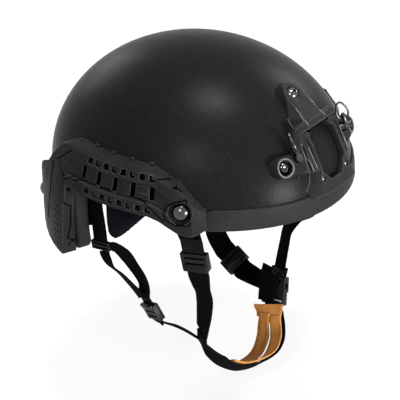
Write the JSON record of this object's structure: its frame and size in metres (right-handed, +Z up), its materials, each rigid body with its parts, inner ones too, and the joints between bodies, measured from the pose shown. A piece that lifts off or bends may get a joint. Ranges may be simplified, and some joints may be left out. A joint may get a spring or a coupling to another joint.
{
  "type": "combat helmet",
  "caption": "High-cut ballistic helmet shell with edge trim, slotted side rails, front goggle shroud, comfort pads and a four-point chin strap harness.",
  "frame": {"origin": "on the mid-plane, at the centre of the shell's plan and at the height of the front brim's lower edge: where the wearer's head sits", "axes": "+Z up through the crown, -Y to the front, +X to the wearer's left"},
  "size_m": [0.268, 0.2805, 0.3169],
  "materials": {
    "shell": "fine speckled satin black coating over laminate",
    "trim_rubber": "satin rubber",
    "rail_polymer": "matte moulded polymer",
    "bolt_steel": "polished black steel",
    "hook_steel": "bright steel wire",
    "anchor_steel": "black steel",
    "pad_cloth": "dark smooth cloth over foam",
    "hook_tape": "hook tape",
    "webbing": "woven webbing",
    "buckle_polymer": "moulded polymer",
    "leather": "suede leather"
  },
  "bodies": {
    "helmet": {"shell": "shell", "edge_trim": "trim_rubber", "rail_right": "rail_polymer", "rail_left": "rail_polymer", "rail_bolts": "bolt_steel", "rail_nuts": "bolt_steel", "shroud_frame": "rail_polymer", "shroud_bolts": "bolt_steel", "shroud_nuts": "bolt_steel", "shroud_screws": "bolt_steel", "lanyard_pin_right": "hook_steel", "lanyard_pin_left": "hook_steel", "crown_pad": "pad_cloth", "front_pad": "pad_cloth", "rear_pad": "pad_cloth", "side_pad_right": "pad_cloth", "side_pad_left": "pad_cloth", "temple_pad_right": "pad_cloth", "temple_pad_left": "pad_cloth", "nape_pad_right": "pad_cloth", "nape_pad_left": "pad_cloth", "hook_discs": "hook_tape", "strap_anchors": "anchor_steel", "front_strap_right": "webbing", "front_strap_left": "webbing", "rear_strap_right": "webbing", "rear_strap_left": "webbing", "jaw_strap_right": "webbing", "jaw_strap_left": "webbing", "rear_slider_right": "buckle_polymer", "rear_slider_left": "buckle_polymer", "jaw_junctions": "webbing", "buckle_socket": "buckle_polymer"},
    "chin_assembly": {"buckle_plug": "buckle_polymer", "chin_strap": "webbing", "chin_cup": "leather"},
    "hook_right": {"lanyard_hook_right": "hook_steel"},
    "hook_left": {"lanyard_hook_left": "hook_steel"},
    "front_lock_right": {"front_adjuster_right": "buckle_polymer"},
    "front_lock_left": {"front_adjuster_left": "buckle_polymer"},
    "rear_lock_right": {"rear_adjuster_right": "buckle_polymer"},
    "rear_lock_left": {"rear_adjuster_left": "buckle_polymer"}
  },
  "joints": [
    {"name": "buckle_release", "type": "slide", "parent": "helmet", "child": "chin_assembly", "axis": [-0.2349, -0.1199, -0.9646], "range_m": [0, 0.016]},
    {"name": "hook_swing_right", "type": "hinge", "parent": "helmet", "child": "hook_right", "pos_m": [-0.03787, -0.12412, 0.05505], "axis": [-0.682, -0.6517, 0.332], "range_deg": [-35, 25]},
    {"name": "hook_swing_left", "type": "hinge", "parent": "helmet", "child": "hook_left", "pos_m": [0.03787, -0.12412, 0.05505], "axis": [0.682, -0.6517, 0.332], "range_deg": [-35, 35]},
    {"name": "front_adjust_right", "type": "slide", "parent": "helmet", "child": "front_lock_right", "axis": [0.1505, -0.1004, -0.9835], "range_m": [-0.006, 0.004]},
    {"name": "front_adjust_left", "type": "slide", "parent": "helmet", "child": "front_lock_left", "axis": [-0.1505, -0.1004, -0.9835], "range_m": [-0.006, 0.004]},
    {"name": "rear_adjust_right", "type": "slide", "parent": "helmet", "child": "rear_lock_right", "axis": [0.2292, -0.3786, -0.8967], "range_m": [-0.004, 0]},
    {"name": "rear_adjust_left", "type": "slide", "parent": "helmet", "child": "rear_lock_left", "axis": [-0.2609, -0.9031, -0.3412], "range_m": [-0.006, 0.002]}
  ]
}
